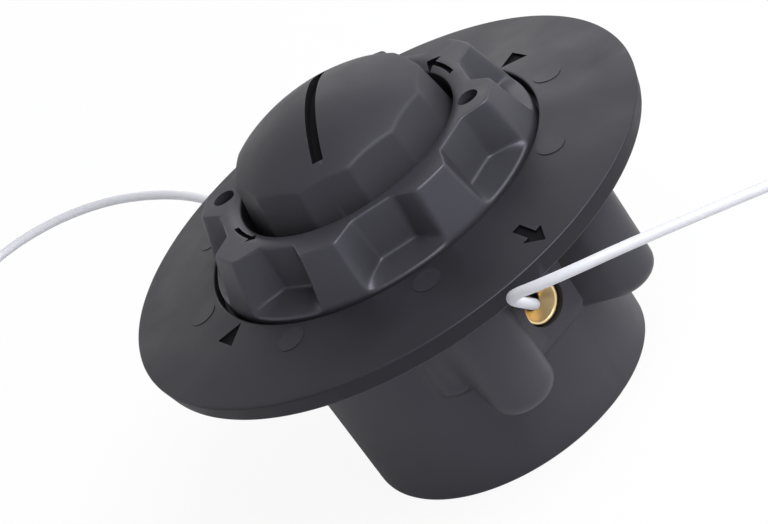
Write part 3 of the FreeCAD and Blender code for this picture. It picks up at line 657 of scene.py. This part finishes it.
# Drum: one wall that swells into flats, posts and soft fairings, hollowed and drilled afterwards
DRUM_END = 36.2
DRUM_MOUTH = 36.9
DRUM_TOP = 56.1
END_ROUND = 0.9
POST_CIRCLE = 46.4
POST_SPREAD = 23.4
POST_RADIUS = 7.8
POST_LOW = 23.4
POST_ROUND = 4.0
POST_ROOT_DRAFT = 4.0
POST_OUTER_DRAFT = 1.8
POST_ROOT_BLEND = 0.9
POST_OUTER_BLEND = 6.0
POST_OUTER_RISE = 14.0
SCREW_CIRCLE = 47.0
SCREW_SPREAD = 23.0
SCREW_HEAD_RADIUS = 3.7
SCREW_HEAD_SPAN = (19.7, 44.0)
SCREW_HOLE_RADIUS = 2.2
SCREW_HOLE_SPAN = (43.0, 57.0)
FAIRING_CIRCLE = 33.6
FAIRING_SPREAD = 39.0
FAIRING_WIDTH = 18
FAIRING_RADIUS = 6.2
FAIRING_LOW = 24.5
FAIRING_RAMP = 5.5
FAIRING_DRAFT = 1.5
FAIRING_BLEND = 2.0
FLAT_DISTANCE = 38.0
FLAT_LOW = 22.2
FLAT_RAMP = 2.5
FLAT_SUNK = 4.0
FLAT_HALF_ANGLE = 17.5
FLAT_BLEND = 0.3
SIDES_OF_EYELETS = (270.0, 90.0)
EYELET_HEIGHT = 33.7
EYELET_SEAT = 34.8
SEAT_RADIUS = 5.6
SEAT_SPAN = (EYELET_SEAT, 40.0)
HOLE_RADIUS = 3.35
HOLE_SPAN = (32.6, 35.5)
BORE = [(0, 28), (11.05, 28), (11.05, 6.5), (33.6, 6.5), (33.6, 58), (0, 58)]
BAY_INNER = 12.5
BAY_OUTER = 33.2
BAY_TOP = 4.0
BAY_COUNT = 8
END_FACE = [(0, -1), (BAY_OUTER, -1), (BAY_OUTER, 0.8), (BAY_INNER, 0.8), (BAY_INNER, 0.4),
            (0, 0.4)]
RIB_HALF = 1.0
INSERT_APOTHEM = 7.55
INSERT_SPAN = (-1.0, 19.0)
PILOT_RADIUS = 3.0
PILOT_SPAN = (20.95, 29.0)


def column_reach(offset, circle, radius, outer_draft=POST_ROOT_DRAFT):
    """Where a ray leaves a round column that stands off the axis; past its edge, a drafted wall."""
    draft = outer_draft if offset > 0 else POST_ROOT_DRAFT
    tangent = radius * draft / math.hypot(1.0, draft)
    inside = min(abs(offset), math.degrees(math.asin(tangent / circle)))
    sine = circle * math.sin(math.radians(inside))
    reach = circle * math.cos(math.radians(inside)) + math.sqrt(max(radius ** 2 - sine ** 2, 0.0))
    return reach - draft * circle * math.radians(abs(offset) - inside)


def ramp(height, low, rise):
    share = min(max((height - low) / rise, 0.0), 1.0)
    return share * share * (3 - 2 * share)


def from_eyelet(angle):
    """The turn in degrees away from the nearer eyelet."""
    return min(abs((angle - side + 180) % 360 - 180) for side in SIDES_OF_EYELETS)


def post_reach(offset, height):
    """A post's reach and the width of its blend into the wall; its outer side softens upwards."""
    rise = min(height - POST_LOW, POST_ROUND)
    radius = POST_RADIUS - POST_ROUND + math.sqrt(POST_ROUND ** 2 - (POST_ROUND - rise) ** 2)
    soft = ramp(height, POST_LOW, POST_OUTER_RISE)
    draft = POST_ROOT_DRAFT + soft * (POST_OUTER_DRAFT - POST_ROOT_DRAFT)
    width = POST_ROOT_BLEND
    if offset >= POST_SPREAD:
        width = POST_ROOT_BLEND + soft * (POST_OUTER_BLEND - POST_ROOT_BLEND)
    return column_reach(offset - POST_SPREAD, POST_CIRCLE, radius, draft), width


def drum_reach(angle, height, with_posts):
    offset = from_eyelet(angle)
    reach = DRUM_END + (DRUM_MOUTH - DRUM_END) * height / DRUM_TOP
    if height > FAIRING_LOW and offset < FAIRING_SPREAD + FAIRING_WIDTH:
        radius = FAIRING_RADIUS - FAIRING_RAMP * (1 - ramp(height, FAIRING_LOW, FAIRING_RAMP))
        fairing = column_reach(offset - FAIRING_SPREAD, FAIRING_CIRCLE, radius, FAIRING_DRAFT)
        reach = soft_max(reach, fairing, FAIRING_BLEND)
    if offset < FLAT_HALF_ANGLE:
        flat = FLAT_DISTANCE - FLAT_SUNK * (1 - ramp(height, FLAT_LOW, FLAT_RAMP))
        reach = soft_max(reach, flat / math.cos(math.radians(offset)), FLAT_BLEND)
    if with_posts:
        reach = soft_max(reach, *post_reach(offset, height))
    return reach


def drum_angles():
    """Columns close together where the posts' sides stand steep."""
    edge = 90 + math.degrees(math.asin(POST_RADIUS / POST_CIRCLE))
    local = []
    for t in np.radians(np.linspace(-edge, edge, 39)):
        across = POST_RADIUS * math.sin(t)
        local.append(math.degrees(math.atan2(across, POST_CIRCLE + POST_RADIUS * math.cos(t))))
    outermost = local[-1]
    beside = [outermost + more for more in (0.3, 0.6, 0.9, 1.2, 1.6, 2.1)]
    local += [side * value for side in (-1, 1) for value in beside]
    near = [side * POST_SPREAD + value for side in (-1, 1) for value in local]
    near += list(np.arange(-7.0, 7.1, 1.4))
    near += [side * value for side in (-1, 1) for value in np.arange(35.6, 60, 0.8)]
    angles = [(side + value) % 360 for side in SIDES_OF_EYELETS for value in near]
    angles += [side + value for side in (0.0, 180.0) for value in np.arange(-29.4, 29.5, 1.4)]
    return sorted({round(angle % 360, 3) for angle in angles})


def drum_section(angle):
    section = [(0.0, 0.0)]
    for t in np.linspace(0, math.pi / 2, 5):
        inset = END_ROUND * (1 - math.sin(t))
        section.append((DRUM_END - inset, END_ROUND * (1 - math.cos(t))))
    below = list(np.arange(4.0, FLAT_LOW - 1.0, 3.2)) + [FLAT_LOW, POST_LOW - 0.6, POST_LOW]
    section += [(drum_reach(angle, z, False), z) for z in below]
    quarter = np.linspace(0, math.pi / 2, 9)
    above = [POST_LOW + POST_ROUND * (1 - math.cos(t)) for t in quarter]
    above += list(np.arange(POST_LOW + POST_ROUND + 0.4, 31.0, 0.6))
    above += list(np.arange(32.0, 55.5, 3.0)) + [DRUM_TOP]
    section += [(drum_reach(angle, z, True), z) for z in above]
    section.append((0.0, DRUM_TOP))
    return section


def screw_cutters(name, radius, low, high):
    """Upright round cutters at the four posts."""
    places = [polar(SCREW_CIRCLE, side + spread_by)
              for side in SIDES_OF_EYELETS for spread_by in (-SCREW_SPREAD, SCREW_SPREAD)]
    return joined([prism(name, disc_outline(*place, radius), low, high) for place in places])


def end_bay(start):
    """The sunk bay between two ribs of the drum's end."""
    end = start + 360.0 / BAY_COUNT
    inner = math.degrees(math.asin(RIB_HALF / BAY_INNER))
    outer = math.degrees(math.asin(RIB_HALF / BAY_OUTER))
    outline = [polar(BAY_INNER, a) for a in np.linspace(start + inner, end - inner, 8)]
    outline += [polar(BAY_OUTER, a) for a in np.linspace(end - outer, start + outer, 12)]
    return prism("end_bay", outline, -1.0, BAY_TOP)


def on_eyelet_axis(turn_to):
    """Stands a piece that was made upright on the eyelet's axis, facing outwards."""
    lift = Matrix.Translation((0, 0, EYELET_HEIGHT * MM))
    return lift @ Matrix.Rotation(turn_to, 4, "X")


def across_flat(name, radius, near_axis, out):
    """A round cutter along the eyelet's axis on both sides of the drum."""
    cutters = []
    for turn_to in (math.pi / 2, -math.pi / 2):
        cutter = prism(name, disc_outline(0, 0, radius, 64), near_axis, out)
        cutter.matrix_world = on_eyelet_axis(turn_to)
        cutters.append(cutter)
    return joined(cutters)


drum = carried_round("drum_shell", drum_angles(), drum_section, closed=False)
drum.data.materials.append(drum_nylon_painted_light)
cut(drum, turned_cutter("bore", BORE))
cut(drum, turned_cutter("end_face", END_FACE))
cut(drum, joined([end_bay(360.0 / BAY_COUNT * i) for i in range(BAY_COUNT)]))
hexagon = [polar(INSERT_APOTHEM / math.cos(math.pi / 6), 60.0 * i) for i in range(6)]
cut(drum, prism("insert_socket", hexagon, *INSERT_SPAN))
cut(drum, prism("hub_pilot", disc_outline(0, 0, PILOT_RADIUS), *PILOT_SPAN))
cut(drum, screw_cutters("counterbore", SCREW_HEAD_RADIUS, *SCREW_HEAD_SPAN))
cut(drum, screw_cutters("screw_hole", SCREW_HOLE_RADIUS, *SCREW_HOLE_SPAN))
cut(drum, across_flat("eyelet_seat", SEAT_RADIUS, *SEAT_SPAN))
cut(drum, across_flat("eyelet_hole", HOLE_RADIUS, *HOLE_SPAN))
cleaned(drum)
dress(drum, "housing", drum_nylon_painted_light, "black_nylon", "drum_housing")


# Eyelets: turned funnels with a rolled lip, sunk in their seats
EYELET_SECTION = [(2.2, 33.2), (3.3, 33.2), (3.3, EYELET_SEAT), (5.3, EYELET_SEAT), (5.3, 36.7),
                  (4.6, 36.7), (2.2, 33.9)]
EYELET_ROUNDS = [0.2, 0.1, 0, 0.1, 0.45, 0.3, 0.9]


def eyelet(name, turn_to, node):
    loop = rounded(EYELET_SECTION, EYELET_ROUNDS, steps=6)
    piece = carried_round(name, evenly(96), lambda angle: loop)
    piece.data.transform(on_eyelet_axis(turn_to))
    dress(piece, "housing", eyelet_brass, "eyelet_brass", node)


eyelet("front_eyelet", math.pi / 2, "eyelet_front")
eyelet("rear_eyelet", -math.pi / 2, "eyelet_rear")


# Knob spring: a round wire coil that spans the spring part's height
SPRING_RADIUS = 12.9
SPRING_WIRE = 0.9
SPRING_TURNS = 5
SPRING_STEPS = 30
SPRING_SIDES = 10


def coil_spring(low, top):
    count = SPRING_TURNS * SPRING_STEPS
    vertices = []
    for step in range(count + 1):
        turned = 360.0 * SPRING_TURNS * step / count
        middle = low + SPRING_WIRE + (top - low - 2 * SPRING_WIRE) * step / count
        for side in range(SPRING_SIDES):
            around = 2 * math.pi * side / SPRING_SIDES
            x, y = polar(SPRING_RADIUS + SPRING_WIRE * math.cos(around), turned)
            z = middle + SPRING_WIRE * math.sin(around)
            vertices.append((x * MM, y * MM, z * MM))
    last = count * SPRING_SIDES
    faces = [tuple(range(SPRING_SIDES)), tuple(range(last, last + SPRING_SIDES))]
    for step in range(count):
        here = step * SPRING_SIDES
        there = here + SPRING_SIDES
        for side in range(SPRING_SIDES):
            beside = (side + 1) % SPRING_SIDES
            faces.append((here + side, here + beside, there + beside, there + side))
    return mesh_object("coil_spring", vertices, faces)


spring_low, spring_top = [corner[2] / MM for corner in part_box("knob_spring")]
coil = coil_spring(spring_low, spring_top)
dress(coil, "housing", spring_steel, "spring_steel", "knob_spring")
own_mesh(coil)


# Floor and light: a pale board in a white tent, with three soft lamps
FLOOR_HALF = 3.0
FLOOR_WHITE = 0.92
FLOOR_MIRRORED = 0.05
TENT_EDGE = 0.9
TENT_TOP = 0.2
AIM = (0.0, 0.0, 0.05)


def studio_surface(name, brightness, mirror_brightness):
    """Pale matt board that shows near white to the camera and keeps a faint shadow."""
    material, tree = blank_material(name)
    board = add(tree, "ShaderNodeBsdfDiffuse", {"Color": linear("#D6D6D8")})
    white = add(tree, "ShaderNodeEmission", {"Color": (1, 1, 1, 1), "Strength": 1.0})
    path = add(tree, "ShaderNodeLightPath").outputs
    mirrored = add(tree, "ShaderNodeMath", {
        0: path["Is Glossy Ray"], 1: path["Is Transmission Ray"]}, operation="MAXIMUM")
    seen = add(tree, "ShaderNodeMath", {
        0: path["Is Camera Ray"], 1: brightness}, operation="MULTIPLY")
    share = add(tree, "ShaderNodeMath", {
        0: mirrored.outputs[0], 1: mirror_brightness, 2: seen.outputs[0]},
        operation="MULTIPLY_ADD")
    finish_material(tree, add(tree, "ShaderNodeMixShader", {
        0: share.outputs[0], 1: board.outputs[0], 2: white.outputs[0]}))
    return material


def white_tent(tree):
    """A tent that is bright at its sides and dim overhead, and white to the camera."""
    path = add(tree, "ShaderNodeLightPath").outputs
    way = add(tree, "ShaderNodeTexCoord").outputs["Generated"]
    height = add(tree, "ShaderNodeSeparateXYZ", {"Vector": way}).outputs["Z"]
    fall = add(tree, "ShaderNodeMapRange", {
        "Value": height, "From Min": 0.38, "From Max": 0.74,
        "To Min": TENT_EDGE, "To Max": TENT_TOP}, interpolation_type="SMOOTHSTEP")
    seen = add(tree, "ShaderNodeMath", {
        0: fall.outputs[0], 1: path["Is Camera Ray"]}, operation="MAXIMUM")
    cloth = add(tree, "ShaderNodeBackground", {
        "Color": (1, 1, 1, 1), "Strength": seen.outputs[0]})
    add(tree, "ShaderNodeOutputWorld", {"Surface": cloth.outputs[0]})


def soft_lamp(name, place, width, height, watts):
    lamp_data = bpy.data.lights.new(name, "AREA")
    lamp_data.shape = "RECTANGLE"
    lamp_data.size = width
    lamp_data.size_y = height
    lamp_data.energy = watts
    lamp = bpy.data.objects.new(name, lamp_data)
    scene.collection.objects.link(lamp)
    lamp.location = place
    lamp.rotation_euler = (Vector(AIM) - Vector(place)).to_track_quat("-Z", "Y").to_euler()


floor_mesh = bpy.data.meshes.new("floor")
floor_corners = [(-FLOOR_HALF, -FLOOR_HALF, 0), (FLOOR_HALF, -FLOOR_HALF, 0),
                 (FLOOR_HALF, FLOOR_HALF, 0), (-FLOOR_HALF, FLOOR_HALF, 0)]
floor_mesh.from_pydata(floor_corners, [], [(0, 1, 2, 3)])
floor = bpy.data.objects.new("floor", floor_mesh)
floor_mesh.materials.append(studio_surface("pale_board", FLOOR_WHITE, FLOOR_MIRRORED))
scene.collection.objects.link(floor)

world = bpy.data.worlds.new("white_tent")
scene.world = world
world.use_nodes = True
world.node_tree.nodes.clear()
white_tent(world.node_tree)

soft_lamp("right_softbox", (0.95, -0.5, 0.85), 1.2, 1.2, 10.0)
soft_lamp("front_softbox", (0.15, -0.85, 1.15), 1.0, 1.0, 25.0)
soft_lamp("back_right_softbox", (0.7, 0.7, 0.6), 0.6, 0.4, 0.9)

scene.view_settings.view_transform = "Standard"
